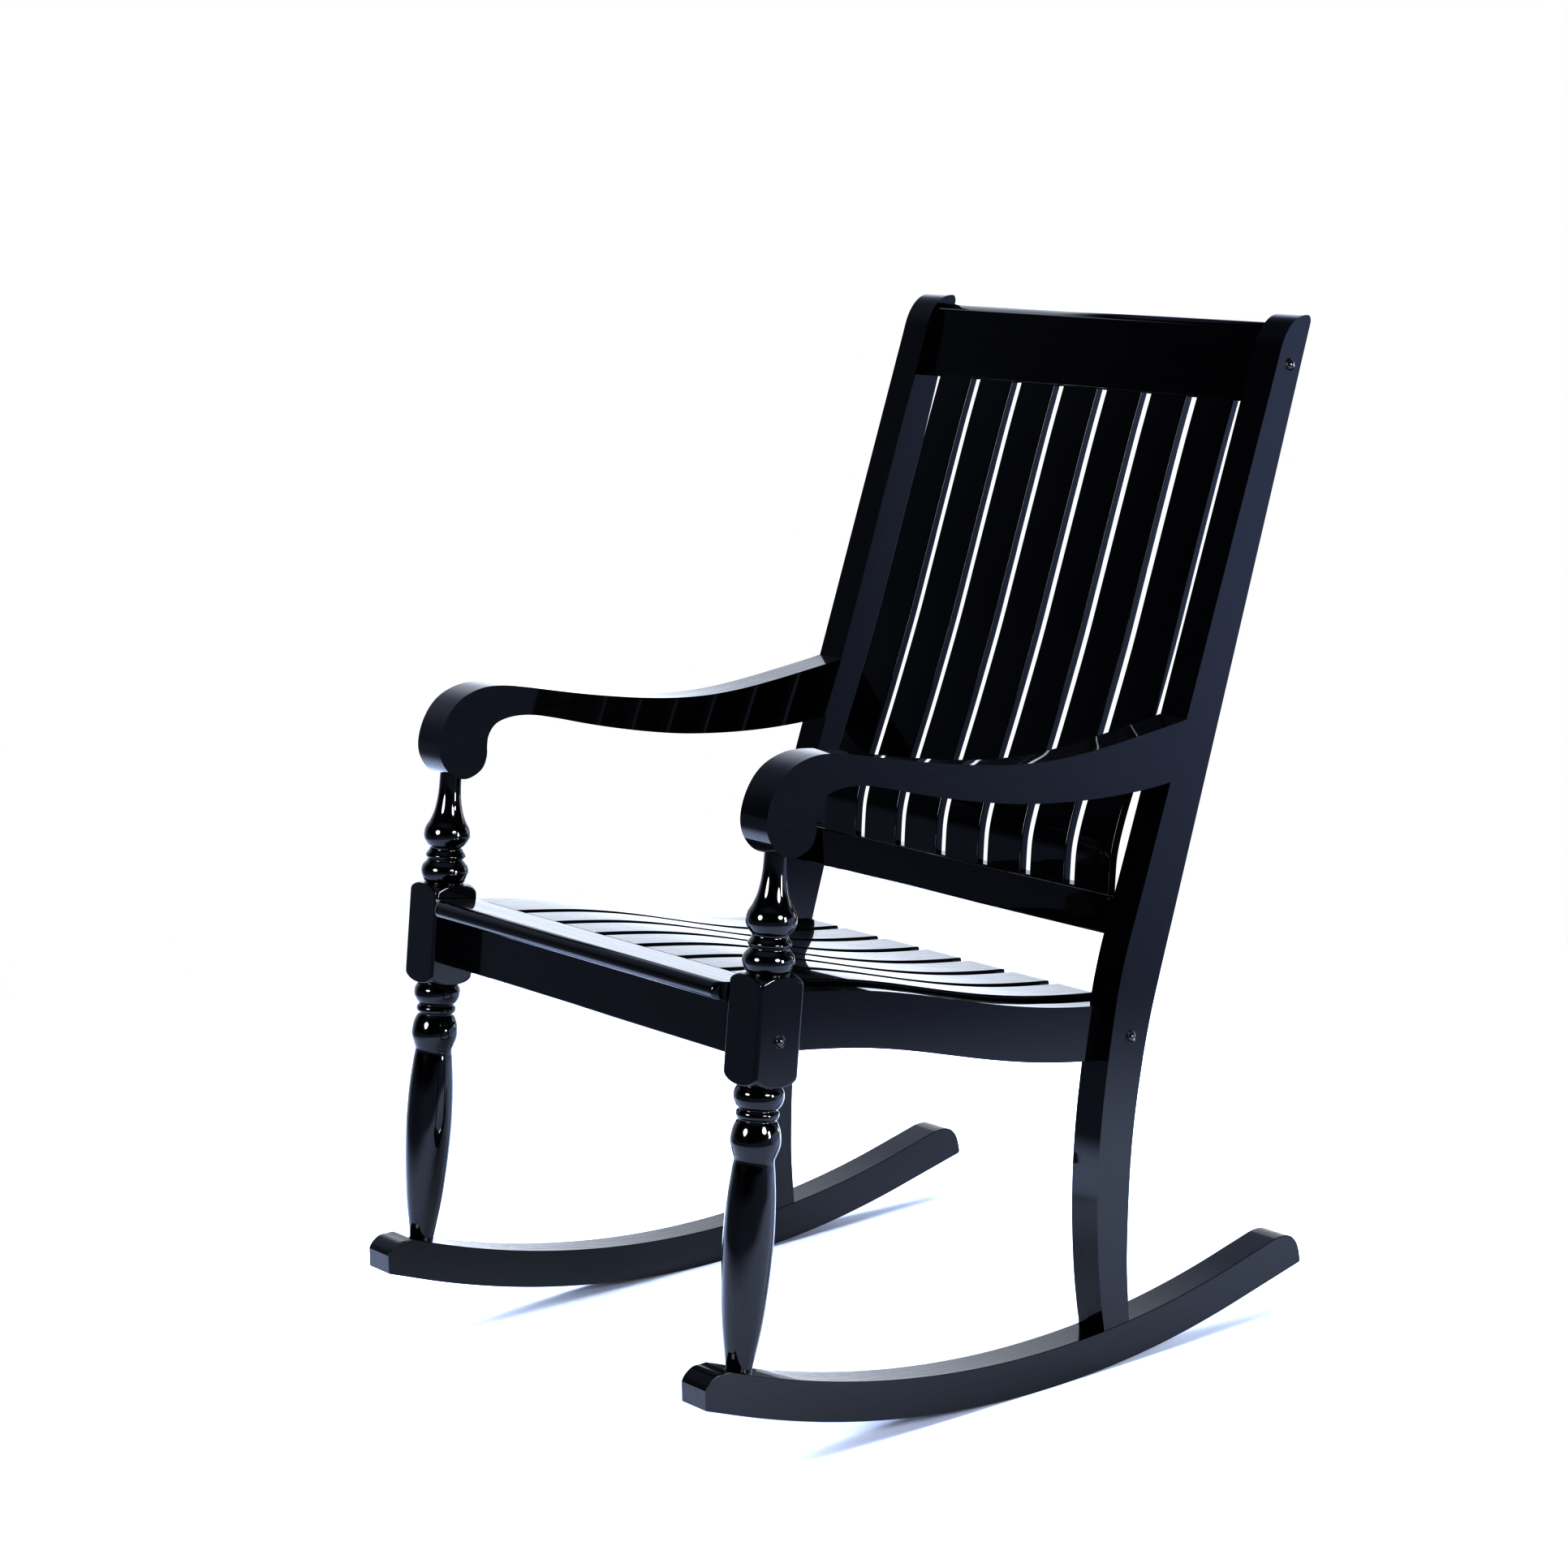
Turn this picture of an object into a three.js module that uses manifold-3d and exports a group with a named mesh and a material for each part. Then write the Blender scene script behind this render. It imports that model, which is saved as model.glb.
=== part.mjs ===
// Porch rocking chair in 38 mm hardwood stock: two arc runners, turned front legs with a square
// block at seat height, bent rear posts, scrolled arms, seven seat slats and seven back slats.
// Millimetres, +Z up, the sitter faces -Y, +X is the sitter's left. The origin is on the floor,
// in the middle of the footprint.
import * as THREE from 'three';
import { mergeVertices } from 'three/addons/utils/BufferGeometryUtils.js';
import Module from 'manifold-3d';

const wasm = await Module();
wasm.setup();

// ---------------------------------------------------------------- driving dimensions
const GAP = 0.3;                       // clearance left between touching pieces
const SIDE_X = 276;                    // centre plane of each side frame
const STOCK = 38.1;                    // runners and rear posts
const BLOCK = 50.8;                    // square of the front legs
const ARM_W = 40.4;

const RUN_R = 1120;                    // rolling radius of the runners
const RUN_Y = -6.5;                    // where the runners touch the floor
const RUN_DEPTH = 39.6;
const RUN_FACET = 19.4;
const TIP_FRONT = -389.2;
const TIP_REAR = 389.2;

const LEG_SLOPE = 0.0914;              // dY/dZ of the front leg axis
const LEG_Y0 = -344.41;                // where that axis meets the floor plane

const SLATS = 7;
const SLAT_PITCH = 69.4;
const SEAT_SLAT_W = 55.4;
const SEAT_SLAT_T = 16;
const BACK_SLAT_PITCH = 68.1;
const BACK_SLAT_W = 53;
const BACK_SLAT_T = 9.5;

const RAIL_X = 267;                    // centre plane of the side rails
const RAIL_T = 22;
const RAIL_DROP = 4;                   // side rail top below the slat tops
const RAIL_DEPTH = 56;

const POST_IN = SIDE_X - STOCK / 2;
const BLOCK_IN = SIDE_X - BLOCK / 2;

const HEAD_D = 13;                     // domed frame bolts
const HEAD_H = 4;
const SHANK_D = 6;
const BORE_SIDES = 12;

// Side outlines as [Y, Z].
const SEAT_TOP = [[-275, 450.9], [-240, 447.4], [-200, 442.5], [-160, 435.7], [-120, 427.1],
  [-80, 417.4], [-40, 407.7], [0, 399.0], [40, 391.8], [80, 386.4], [120, 382.6], [148, 380.6]];

const POST_FRONT = [[113.4, 40], [108.6, 66], [104.2, 100], [101.2, 140], [100.1, 180], [101.0, 220],
  [103.9, 260], [108.6, 300], [114.6, 340], [123.4, 390], [133.6, 430], [146.4, 468], [163.5, 518],
  [190.9, 600], [257.7, 800], [324.4, 1000], [331.6, 1022]];
const POST_BACK = [[373.4, 1050.5], [358.2, 1000], [298.3, 800], [238.3, 600], [208.4, 500], [189.5, 437],
  [179.2, 402], [170.9, 373], [163.2, 341], [156.7, 308], [151.2, 275.5], [147.0, 242.5], [144.2, 209.5],
  [142.6, 176], [141.7, 140], [141.8, 108], [143.8, 74], [146.6, 40]];
const POST_TOP = [[334.6, 1030.4], [338.6, 1038.4], [343.4, 1045.2], [349, 1050.8], [355.6, 1055],
  [363, 1057.2], [369.6, 1057.4], [372.6, 1055.4]];

const ARM_TOP = [[196.1, 658.9], [156.1, 652.4], [113.3, 645.8], [71, 640.6], [29.3, 638],
  [-12.1, 638.6], [-52.8, 642], [-93.2, 647.2], [-132.9, 653.4], [-172.3, 660.6], [-210.8, 668],
  [-238, 672], [-262, 672], [-284, 665.6], [-300, 654.4], [-311.5, 637.6], [-317.4, 619],
  [-316.6, 603.6], [-309.6, 590.6], [-299.4, 582.2], [-287, 578.6], [-274.5, 581.6], [-264.6, 588.8],
  [-259.8, 600.2], [-259.2, 611.6], [-257.2, 621.6], [-250.2, 631.2], [-239.4, 636.4], [-222, 638.9],
  [-200, 637.6]];
const ARM_UNDER = [[-172.1, 631.8], [-132.6, 622], [-92.8, 613.3], [-52.4, 605.8], [-11.6, 599.8],
  [29.9, 596.1], [71.8, 594.2], [114.3, 594.2], [157.4, 596.4]];

const SLAT_FRONT = [[168.4, 479], [169.1, 495], [170.8, 515], [175.3, 535], [184.3, 562], [197.8, 596],
  [215.2, 640], [243.5, 716], [266.2, 784], [288.8, 852.5], [311.7, 921], [329.2, 970]];

// Front leg radii against height along the leg, foot to neck.
const LEG_PROFILE = [[12.4, 86], [12.4, 93], [15.3, 110.5], [19.0, 135], [22.3, 171], [24.1, 205],
  [24.3, 228], [23.3, 256], [20.9, 282], [19.5, 293.5], [21.2, 299.5], [23.6, 307], [24.2, 313],
  [22.8, 322.5], [20.2, 329.5], [18.4, 332.4], [20.5, 336], [20.4, 339.6], [18.6, 342.8], [21.6, 346],
  [24.0, 352], [23.8, 359], [21.4, 363.8], [20.6, 365], [26.4, 366.8], [31.4, 369.8], [34.6, 374.2],
  [36.2, 380.4], [36.2, 457.6], [34.6, 463.2], [31.2, 467.2], [26.6, 469.8], [20.2, 471],
  [22.6, 475], [24.8, 482.4], [23.4, 489],
  [19.0, 494.6], [20.9, 499.4], [17.2, 506.4], [20.5, 511], [23.6, 516.6], [24.2, 521.8],
  [22.8, 528.6], [18.6, 536], [15.2, 545], [12.9, 556], [11.7, 568], [11.4, 582], [11.4, 596]];
const LEG_SIDES = 20;
const LEG_STRETCH = Math.hypot(1, LEG_SLOPE);

// ---------------------------------------------------------------- colour
const lacquer = new THREE.MeshStandardMaterial({ color: 0x0b0b10, roughness: 0.12, metalness: 0 });
const blackMetal = new THREE.MeshStandardMaterial({ color: 0x101014, roughness: 0.22, metalness: 0.7 });

// ---------------------------------------------------------------- outline helpers
function smooth(points, steps) {
  const curve = new THREE.SplineCurve(points.map(([y, z]) => new THREE.Vector2(y, z)));
  return curve.getPoints(steps).map((p) => [p.x, p.y]);
}

// Y on a polyline that climbs (or falls) in Z, and Z on one that runs along Y.
function lookUp(line, value, from, to) {
  for (let i = 1; i < line.length; i++) {
    const a = line[i - 1], b = line[i];
    if ((a[from] - value) * (b[from] - value) <= 0 && a[from] !== b[from]) {
      return a[to] + ((b[to] - a[to]) * (value - a[from])) / (b[from] - a[from]);
    }
  }
  const a = line[0], b = line[line.length - 1];
  return Math.abs(a[from] - value) < Math.abs(b[from] - value) ? a[to] : b[to];
}

function area(points) {
  let sum = 0;
  points.forEach(([y, z], i) => {
    const [y2, z2] = points[(i + 1) % points.length];
    sum += y * z2 - y2 * z;
  });
  return sum / 2;
}

// The outline moved outwards by d, for the clearance round a joint.
function grow(points, d) {
  const turn = Math.sign(area(points));
  const n = points.length;
  return points.map(([y, z], i) => {
    const [ya, za] = points[(i + n - 1) % n];
    const [yb, zb] = points[(i + 1) % n];
    const l1 = Math.hypot(y - ya, z - za), l2 = Math.hypot(yb - y, zb - z);
    const n1 = [(turn * (z - za)) / l1, (-turn * (y - ya)) / l1];
    const n2 = [(turn * (zb - z)) / l2, (-turn * (yb - y)) / l2];
    const sy = n1[0] + n2[0], sz = n1[1] + n2[1];
    const k = (2 * d) / Math.max(0.5, sy * sy + sz * sz);
    return [y + sy * k, z + sz * k];
  });
}

// ---------------------------------------------------------------- solids
function toSolid(geometry) {
  const bare = new THREE.BufferGeometry();
  bare.setAttribute('position', geometry.getAttribute('position'));
  if (geometry.index) bare.setIndex(geometry.index);
  const merged = mergeVertices(bare, 1e-4);
  return new wasm.Manifold(new wasm.Mesh({
    numProp: 3,
    vertProperties: new Float32Array(merged.getAttribute('position').array),
    triVerts: new Uint32Array(merged.index.array),
  }));
}

function toGeometry(solid) {
  const mesh = solid.getMesh();
  const geometry = new THREE.BufferGeometry();
  geometry.setAttribute('position', new THREE.BufferAttribute(new Float32Array(mesh.vertProperties), 3));
  geometry.setIndex(new THREE.BufferAttribute(new Uint32Array(mesh.triVerts), 1));
  geometry.computeVertexNormals();
  return geometry;
}

// A side outline in (Y, Z) extruded along X between two planes.
function board(outline, x0, x1) {
  const shape = new THREE.Shape(outline.map(([y, z]) => new THREE.Vector2(y, z)));
  const geometry = new THREE.ExtrudeGeometry(shape, { depth: x1 - x0, bevelEnabled: false });
  geometry.applyMatrix4(new THREE.Matrix4().set(
    0, 0, 1, x0,
    1, 0, 0, 0,
    0, 1, 0, 0,
    0, 0, 0, 1));
  return toSolid(geometry);
}

function box(x0, x1, y0, y1, z0, z1) {
  const geometry = new THREE.BoxGeometry(Math.abs(x1 - x0), y1 - y0, z1 - z0);
  geometry.translate((x0 + x1) / 2, (y0 + y1) / 2, (z0 + z1) / 2);
  return toSolid(geometry);
}

function rodX(x0, x1, y, z, diameter) {
  const geometry = new THREE.CylinderGeometry(diameter / 2, diameter / 2, Math.abs(x1 - x0), BORE_SIDES);
  geometry.rotateZ(Math.PI / 2);
  geometry.translate((x0 + x1) / 2, y, z);
  return toSolid(geometry);
}

function legRod(z0, z1, diameter) {
  const geometry = new THREE.CylinderGeometry(diameter / 2, diameter / 2, z1 - z0, LEG_SIDES);
  geometry.rotateX(Math.PI / 2);
  geometry.translate(0, 0, (z0 + z1) / 2);
  return toSolid(geometry);
}

const chair = new THREE.Group();
chair.name = 'rocking_chair';

// The pieces are drawn with the runners' tips level. The chair then rolls back on its runners,
// about the centre of their arc, until its centre of mass is over the line of contact.
const ROLL_BACK = (2.54 * Math.PI) / 180;
const rolled = new THREE.Group();
rolled.rotation.x = -ROLL_BACK;
rolled.position.set(0, RUN_Y, RUN_R);
const drawn = new THREE.Group();
drawn.position.set(0, -RUN_Y, -RUN_R);
rolled.add(drawn);
chair.add(rolled);

// Adds a piece whose solid is given in the chair's frame; the mesh keeps its own local frame.
function add(name, solid, material, position, tiltX = 0) {
  const mesh = new THREE.Mesh(undefined, material);
  mesh.name = name;
  mesh.position.set(...position);
  mesh.rotation.x = tiltX;
  mesh.updateMatrix();
  mesh.geometry = toGeometry(solid.transform(mesh.matrix.clone().invert().elements));
  drawn.add(mesh);
}

// ---------------------------------------------------------------- shared lines
function runnerZ(y, radius, lift) {
  const d = y - RUN_Y;
  const bend = d < 0 ? 345 : 305;                     // the tips run on straight past this
  const at = Math.min(Math.abs(d), bend);
  const root = Math.sqrt(radius * radius - at * at);
  return RUN_R + lift - root + (Math.abs(d) - at) * (at / root);
}

const seatLine = smooth(SEAT_TOP, 22);
const seatZ = (y) => lookUp(seatLine, y, 0, 1);
const postFront = smooth(POST_FRONT, 32);
const postBack = smooth(POST_BACK, 34);
const postFrontY = (z) => lookUp(postFront, z, 1, 0);
const legY = (z) => LEG_Y0 + LEG_SLOPE * z;
const blockBackY = (z) => legY(z) + (BLOCK / 2) * LEG_STRETCH;

// The facets under the runner are set out from the line of contact, so one of them lies level.
function runnerUnder() {
  const contact = RUN_Y + RUN_R * Math.sin(ROLL_BACK);
  const ys = [TIP_FRONT + 0.4];
  for (let k = -24; k <= 24; k++) {
    const y = contact + (k + 0.5) * RUN_FACET;
    if (y > TIP_FRONT + 6 && y < TIP_REAR - 7) ys.push(y);
  }
  ys.push(TIP_REAR - 1.2);
  return ys.map((y) => [y, Math.max(0, runnerZ(y, RUN_R, 0))]);
}

function runnerUpper() {
  const top = [];
  for (let i = 0; i <= 34; i++) {
    const y = 352 - ((352 + 360) * i) / 34;
    top.push([y, runnerZ(y, RUN_R - RUN_DEPTH, 0)]);
  }
  const heel = [[TIP_REAR, 70.2], [386.8, 81.4], [383, 90.4], [377, 96.8], [370, 99.9], [361.5, 100.4]];
  const toe = [[-367, 98.6], [-375.4, 98.2], [-381.4, 95.4], [-386.2, 91.2], [TIP_FRONT, 86.4]];
  return [...heel, ...top, ...toe];
}

function postOutline() {
  return [...postFront, ...POST_TOP, ...postBack];
}

function armOutline() {
  const sweep = smooth([[postFrontY(661.9) - GAP, 661.9], ...ARM_TOP, ...ARM_UNDER,
    [postFrontY(600.2) - GAP, 600.2]], 108);
  return [...sweep, [postFrontY(620) - GAP, 620], [postFrontY(641) - GAP, 641]];
}

const upper = runnerUpper();
const runner = [...runnerUnder(), ...upper];
const arm = armOutline();

// ---------------------------------------------------------------- joints, as [x0, x1, y0, y1, z0, z1]
const grown = ([x0, x1, y0, y1, z0, z1], d = GAP) => [x0 - d, x1 + d, y0 - d, y1 + d, z0 - d, z1 + d];
const POST_FOOT = [SIDE_X - 9, SIDE_X + 9, 119, 139, 22, 60];
const ARM_TENON = [SIDE_X - 8, SIDE_X + 8, 180, 219, 615, 648];
const RAIL_FRONT = [RAIL_X - 6, RAIL_X + 6, -314, -270, 397, 432];
const RAIL_REAR = [RAIL_X - 6, RAIL_X + 6, 100, 146, 334, 366];
const APRON_TENON = [BLOCK_IN - 8, BLOCK_IN + 9, -295.5, -285.5, 393, 424];
const CREST_TENON = [POST_IN - 8, POST_IN + 13, 0, 0, 988, 1030];
const LOWER_TENON = [POST_IN - 8, POST_IN + 14, 170, 182, 446, 471];
const CREST = { slope: 0.29, y: 330, z: 973.6, t: 20, z0: 969.6, z1: 1048 };
const LOWER = { slope: 0.14, y: 168, z: 479.4, t: 20, z0: 438.4, z1: 479.4 };
const railFrontY = (rail, z) => rail.y + rail.slope * (z - rail.z);

const BOLTS = [                        // [name, y, z, x of the outer face, depth reached]
  ['bolt_seat_front', legY(409), 409, SIDE_X + BLOCK / 2, 36],
  ['bolt_seat_rear', 142.4, 346.8, SIDE_X + STOCK / 2, 60],
  ['bolt_crest', 345.2, 1008.7, SIDE_X + STOCK / 2, 64],
];

// Everything below is drawn for the +X side and mirrored for the other.
const mirrored = (side, a, b) => (side > 0 ? [a, b] : [-b, -a]);
function sideBox(side, [x0, x1, ...rest], d = 0) {
  const [a, b] = mirrored(side, x0 - d, x1 + d);
  const [y0, y1, z0, z1] = rest;
  return box(a, b, y0 - d, y1 + d, z0 - d, z1 + d);
}
function sideBoard(side, outline, x0, x1) {
  return board(outline, ...mirrored(side, x0, x1));
}
function boreFor(side, [, y, z, face, depth], d = GAP) {
  const [a, b] = mirrored(side, face - depth - d, face + 1);
  return rodX(a, b, y, z, SHANK_D + 2 * d);
}
function leaning(slope, y, z, t, z0, z1) {           // a plank's side section leaning back with slope
  return [[y + slope * (z0 - z), z0], [y + t + slope * (z0 - z), z0],
    [y + t + slope * (z1 - z), z1], [y + slope * (z1 - z), z1]];
}
const crestTenon = (d) => leaning(CREST.slope, CREST.y + 4 - d, CREST.z, 12 + 2 * d, CREST_TENON[4] - d,
  CREST_TENON[5] + d);

function legFrame(x) {
  return new THREE.Matrix4().makeTranslation(x, LEG_Y0, 0)
    .multiply(new THREE.Matrix4().makeRotationX(-Math.atan(LEG_SLOPE)));
}

// ---------------------------------------------------------------- pieces
function makeRunner(name, side) {
  const x0 = SIDE_X - STOCK / 2, x1 = SIDE_X + STOCK / 2;
  const socket = legRod(65.4, 120, 18.8).transform(legFrame(side * SIDE_X).elements);
  const solid = sideBoard(side, runner, x0, x1).subtract(sideBox(side, POST_FOOT, GAP)).subtract(socket);
  add(name, solid, lacquer, [side * SIDE_X, 0, 0]);
}

function makeFrontLeg(name, side) {
  const frame = legFrame(side * SIDE_X);
  const points = [new THREE.Vector2(0, LEG_PROFILE[0][1]),
    ...LEG_PROFILE.map(([r, z]) => new THREE.Vector2(r, z)),
    new THREE.Vector2(0, LEG_PROFILE[LEG_PROFILE.length - 1][1])];
  const lathe = new THREE.LatheGeometry(points, LEG_SIDES, Math.PI / 4);
  lathe.rotateX(Math.PI / 2);
  const turned = toSolid(lathe);
  const square = box(-BLOCK / 2, BLOCK / 2, -BLOCK / 2, BLOCK / 2, 0, 700);
  const belowRunner = [...[...upper].reverse(), [400, 30], [400, -20], [-400, -20], [-400, 30]];
  const underRunner = grow(belowRunner.filter(([, z], i, all) => i === 0 || z !== all[i - 1][1]), GAP);
  let solid = turned.intersect(square).transform(frame.elements)
    .subtract(board(underRunner, side * SIDE_X - 40, side * SIDE_X + 40))
    .subtract(board(grow(arm, GAP), side * SIDE_X - 40, side * SIDE_X + 40));
  solid = solid.add(legRod(66, 110, 18).transform(frame.elements))
    .add(legRod(560, 606, 15).transform(frame.elements))
    .subtract(sideBox(side, RAIL_FRONT, GAP))
    .subtract(sideBox(side, APRON_TENON, GAP))
    .subtract(boreFor(side, BOLTS[0]));
  add(name, solid, lacquer, [side * SIDE_X, LEG_Y0, 0], -Math.atan(LEG_SLOPE));
}

function makeRearPost(name, side) {
  const x0 = SIDE_X - STOCK / 2, x1 = SIDE_X + STOCK / 2;
  const [crestA, crestB] = mirrored(side, CREST_TENON[0], CREST_TENON[1] + GAP);
  const solid = sideBoard(side, postOutline(), x0, x1)
    .subtract(board(grow(runner, GAP), side * SIDE_X - 40, side * SIDE_X + 40))
    .add(sideBox(side, POST_FOOT))
    .subtract(sideBox(side, ARM_TENON, GAP))
    .subtract(sideBox(side, RAIL_REAR, GAP))
    .subtract(sideBox(side, LOWER_TENON, GAP))
    .subtract(board(crestTenon(GAP), crestA, crestB))
    .subtract(boreFor(side, BOLTS[1]))
    .subtract(boreFor(side, BOLTS[2]));
  add(name, solid, lacquer, [side * SIDE_X, 0, 0]);
}

function makeArm(name, side) {
  const socket = legRod(570, 610, 15.8).transform(legFrame(side * SIDE_X).elements);
  const solid = sideBoard(side, arm, SIDE_X - ARM_W / 2, SIDE_X + ARM_W / 2)
    .add(sideBox(side, ARM_TENON)).subtract(socket);
  add(name, solid, lacquer, [side * SIDE_X, 0, 600]);
}

function makeSideRail(name, side) {
  const top = [], under = [];
  const steps = 22, y0 = -300, y1 = 140;
  for (let i = 0; i <= steps; i++) {
    const y = y0 + ((y1 - y0) * i) / steps;
    top.unshift([y, seatZ(y) - RAIL_DROP]);
    under.push([y, seatZ(y) - RAIL_DROP - RAIL_DEPTH]);
  }
  const outline = [...under, ...top];
  const ahead = [[-420, 300], [blockBackY(300) + GAP, 300], [blockBackY(500) + GAP, 500], [-420, 500]];
  const behind = [...postFront.filter(([, z]) => z > 200 && z < 520).map(([y, z]) => [y - GAP, z]),
    [300, 517], [300, 201]];
  const wide = [side * RAIL_X - 30, side * RAIL_X + 30];
  const solid = sideBoard(side, outline, RAIL_X - RAIL_T / 2, RAIL_X + RAIL_T / 2)
    .subtract(board(ahead, ...wide)).subtract(board(behind, ...wide))
    .add(sideBox(side, RAIL_FRONT)).add(sideBox(side, RAIL_REAR))
    .subtract(boreFor(side, BOLTS[0])).subtract(boreFor(side, BOLTS[1]));
  add(name, solid, lacquer, [side * RAIL_X, 0, 400]);
}

const BOARD_SLOPE = 0.14;
const NOSE_SETBACK = 8.5;
const boardTop = (y) => seatZ(-275) + BOARD_SLOPE * (-275 - y);

function makeFrontApron() {
  const half = BLOCK_IN - GAP;
  const frontY = (z) => -301.5 + LEG_SLOPE * (z - 410);
  const topZ = (y) => boardTop(y) - 18.2 - GAP;
  const z0 = 381, t = 22;
  const section = [[frontY(z0), z0], [frontY(z0) + t, z0], [frontY(433) + t, topZ(frontY(433) + t)],
    [frontY(436), topZ(frontY(436))]];
  let solid = board(section, -half, half);
  for (const side of [1, -1]) solid = solid.add(sideBox(side, APRON_TENON));
  add('front_apron', solid, lacquer, [0, -290, 410]);
}

function makeFrontBoard() {
  const half = BLOCK_IN - GAP;
  const z = boardTop(-275);
  const rise = (y) => boardTop(y);
  const section = [[-275, z], [-275, z - 5.3], [-283.4, z - 5.3], [-283.4, z - 11.9], [-275, z - 11.9],
    [-275, z - 18.2], [-334.6, rise(-334.6) - 18.2], [-336.8, rise(-336.8) - 17.2],
    [-338.2, rise(-338) - 15], [-338.6, rise(-338) - 9], [-337.2, rise(-337) - 5.2],
    [-334.2, rise(-334) - 2.3], [-330.4, rise(-330.4) - 0.6], [-326.4, rise(-326.4)]];
  const nose = half - NOSE_SETBACK;                   // the nose stops short of the blocks
  const y0 = legY(455) - (BLOCK / 2) * LEG_STRETCH;
  const plan = new THREE.Shape();
  plan.moveTo(-half, -270);
  plan.lineTo(-half, y0);
  plan.lineTo(-nose, y0);
  plan.lineTo(-nose, -334.5);
  plan.quadraticCurveTo(-nose, -339.5, -nose + 5, -339.5);
  plan.lineTo(nose - 5, -339.5);
  plan.quadraticCurveTo(nose, -339.5, nose, -334.5);
  plan.lineTo(nose, y0);
  plan.lineTo(half, y0);
  plan.lineTo(half, -270);
  const cutter = new THREE.ExtrudeGeometry(plan, { depth: 80, bevelEnabled: false, curveSegments: 5 });
  cutter.translate(0, 0, 410);
  const solid = board(section, -half, half).intersect(toSolid(cutter));
  add('seat_front_board', solid, lacquer, [0, -306, 450]);
}

function makeSeatSlat(name, x) {
  const top = [], under = [];
  for (let i = 0; i <= 18; i++) {
    const y = -275 + GAP + ((148 + 275 - GAP) * i) / 18;
    top.unshift([y, seatZ(y)]);
    under.push([y, seatZ(y) - SEAT_SLAT_T]);
  }
  const z = seatZ(-275);
  const tongue = [[-274.5, z - 5.6], [-283, z - 5.6], [-283, z - 11.6], [-274.5, z - 11.6]];
  const outline = [...under, ...top, ...tongue];
  add(name, board(outline, x - SEAT_SLAT_W / 2, x + SEAT_SLAT_W / 2), lacquer, [x, -60, 420]);
}

function makeRearSeatRail() {
  const half = POST_IN - GAP;
  const bed = seatZ(140) - SEAT_SLAT_T;
  let solid = box(-half, half, 129, 151, 322, bed + 2.5);
  for (let k = 0; k < SLATS; k++) {
    const x = (k - (SLATS - 1) / 2) * SLAT_PITCH;
    const floor = [[120, seatZ(120) - SEAT_SLAT_T - GAP], [158, seatZ(148) - SEAT_SLAT_T - GAP - 0.6],
      [158, bed + 20], [120, bed + 20]];
    solid = solid.subtract(board(floor, x - SEAT_SLAT_W / 2 - GAP, x + SEAT_SLAT_W / 2 + GAP));
  }
  for (const side of [1, -1]) solid = solid.subtract(boreFor(side, BOLTS[1]));
  add('rear_seat_rail', solid, lacquer, [0, 140, 345]);
}

function slatPath() {
  const front = smooth(SLAT_FRONT, 18);
  const back = front.map(([y, z], i) => {
    const [ya, za] = front[Math.max(0, i - 1)], [yb, zb] = front[Math.min(front.length - 1, i + 1)];
    const l = Math.hypot(yb - ya, zb - za);
    return [y + (BACK_SLAT_T * (zb - za)) / l, z - (BACK_SLAT_T * (yb - ya)) / l];
  });
  return { front, back };
}

// The slat's full section runs on into both rails, barefaced, 12 mm deep.
function slatTenons(d) {
  const low = [[170.4 - d, 466.5 - d], [178 + d, 466.5 - d], [178.4 + d, 484], [171.4 - d, 484]];
  const high = [[330.4 - d, 962], [338.4 + d, 962], [344.7 + d, 983 + d], [336.6 - d, 983 + d]];
  return { low, high };
}

function makeBackSlat(name, x) {
  const { front, back } = slatPath();
  const shoulder = { low: LOWER.z1 + GAP, high: CREST.z0 - GAP };
  const outline = [...front, ...back.reverse()];
  const trim = board([[0, 300], [600, 300], [600, shoulder.low], [0, shoulder.low]], x - 60, x + 60)
    .add(board([[0, shoulder.high], [600, shoulder.high], [600, 1200], [0, 1200]], x - 60, x + 60));
  const tenons = slatTenons(0);
  const w = BACK_SLAT_W / 2;
  const solid = board(outline, x - w, x + w).subtract(trim)
    .add(board(tenons.low, x - w + 5, x + w - 5))
    .add(board(tenons.high, x - w + 5, x + w - 5));
  add(name, solid, lacquer, [x, 240, 720]);
}

function makeBackRail(name, rail, tenon, end) {
  const half = POST_IN - GAP;
  let solid = board(leaning(rail.slope, rail.y, rail.z, rail.t, rail.z0, rail.z1), -half, half);
  for (const side of [1, -1]) solid = solid.add(tenon(side));
  for (let k = 0; k < SLATS; k++) {
    const x = (k - (SLATS - 1) / 2) * BACK_SLAT_PITCH;
    const w = BACK_SLAT_W / 2 - 5 + GAP;
    solid = solid.subtract(board(slatTenons(GAP)[end], x - w, x + w));
  }
  for (const side of [1, -1]) solid = solid.subtract(boreFor(side, BOLTS[2]));
  add(name, solid, lacquer, [0, rail.y + rail.t / 2, (rail.z0 + rail.z1) / 2]);
}

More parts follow.
